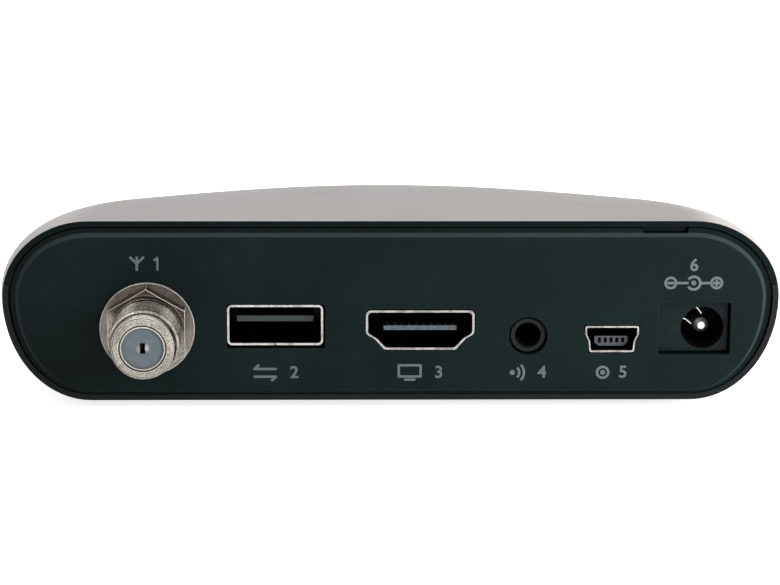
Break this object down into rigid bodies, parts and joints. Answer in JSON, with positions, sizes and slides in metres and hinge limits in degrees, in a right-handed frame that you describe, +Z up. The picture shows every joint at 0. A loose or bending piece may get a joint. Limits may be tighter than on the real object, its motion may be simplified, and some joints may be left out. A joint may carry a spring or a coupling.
{
  "type": "satellite tv receiver",
  "caption": "Compact wedge-shaped satellite TV receiver: rear panel with threaded aerial inlet, data, video, audio and power sockets; front display window and push keys.",
  "frame": {"origin": "under the middle of the whole receiver, aerial connector included, on the surface its feet stand on", "axes": "+Z up, front with display and keys towards -Y, rear panel with the sockets towards +Y, aerial connector on the +X side"},
  "size_m": [0.109, 0.0892, 0.0267],
  "materials": {
    "cover_lacquer": "satin",
    "case_black": "semi-gloss",
    "panel_black": "matte",
    "key_black": "satin",
    "smoked_window": "polished",
    "foot_rubber": "matte",
    "nickel_plate": "satin",
    "shell_steel": "satin",
    "screw_steel": "black oxide",
    "tin_plate": "satin",
    "gold_contact": "polished",
    "dielectric": "satin",
    "socket_plastic": "satin",
    "board_green": "solder mask",
    "chip_epoxy": "matte",
    "thermal_grey": "matte",
    "anodised_aluminium": "anodised",
    "crystal_can": "polished",
    "capacitor_sleeve": "sleeved",
    "ferrite": "matte",
    "ceramic_tan": "matte",
    "switch_plastic": "matte",
    "plunger_plastic": "matte",
    "display_body": "satin",
    "infrared_epoxy": "polished",
    "red_lens": "polished"
  },
  "bodies": {
    "receiver": {"aerial_barrel": "nickel_plate", "aerial_contact": "gold_contact", "aerial_insulator": "dielectric", "aerial_nut": "nickel_plate", "aerial_washer": "nickel_plate", "av_jack_body": "socket_plastic", "av_jack_bushing": "socket_plastic", "av_jack_contacts": "shell_steel", "board_screws": "screw_steel", "case_screws": "screw_steel", "ceramic_capacitors": "ceramic_tan", "display_module": "display_body", "display_window": "smoked_window", "electrolytic_capacitors": "capacitor_sleeve", "flash_chip": "chip_epoxy", "front_board": "board_green", "front_board_header": "socket_plastic", "front_fascia": "case_black", "hdmi_contacts": "gold_contact", "hdmi_shell": "shell_steel", "hdmi_tongue": "socket_plastic", "heat_sink": "anodised_aluminium", "infrared_receiver": "infrared_epoxy", "key_switches": "switch_plastic", "lower_shell": "case_black", "main_board": "board_green", "memory_chip": "chip_epoxy", "mini_usb_contacts": "gold_contact", "mini_usb_shell": "shell_steel", "mini_usb_tongue": "socket_plastic", "power_inductors": "ferrite", "power_jack_body": "socket_plastic", "power_jack_pin": "shell_steel", "power_jack_spring": "shell_steel", "processor_chip": "chip_epoxy", "quartz_crystal": "crystal_can", "rear_panel": "panel_black", "rubber_feet": "foot_rubber", "standby_light": "red_lens", "thermal_pad": "thermal_grey", "tuner_can": "tin_plate", "tuner_chip": "chip_epoxy", "tuner_lid": "tin_plate", "upper_shell": "cover_lacquer", "usb_contacts": "gold_contact", "usb_shell": "shell_steel", "usb_tongue": "socket_plastic", "voltage_regulators": "chip_epoxy"},
    "power_key_body": {"power_key": "key_black", "power_switch_plunger": "plunger_plastic"},
    "channel_down_key_body": {"channel_down_key": "key_black", "channel_down_switch_plunger": "plunger_plastic"},
    "channel_up_key_body": {"channel_up_key": "key_black", "channel_up_switch_plunger": "plunger_plastic"}
  },
  "joints": [
    {"name": "power_key_press", "type": "slide", "parent": "receiver", "child": "power_key_body", "axis": [0, 1, 0], "range_m": [0, 0.0004], "stiffness_N_per_m": 800},
    {"name": "channel_down_key_press", "type": "slide", "parent": "receiver", "child": "channel_down_key_body", "axis": [0, 1, 0], "range_m": [0, 0.0004], "stiffness_N_per_m": 800},
    {"name": "channel_up_key_press", "type": "slide", "parent": "receiver", "child": "channel_up_key_body", "axis": [0, 1, 0], "range_m": [0, 0.0004], "stiffness_N_per_m": 800}
  ]
}
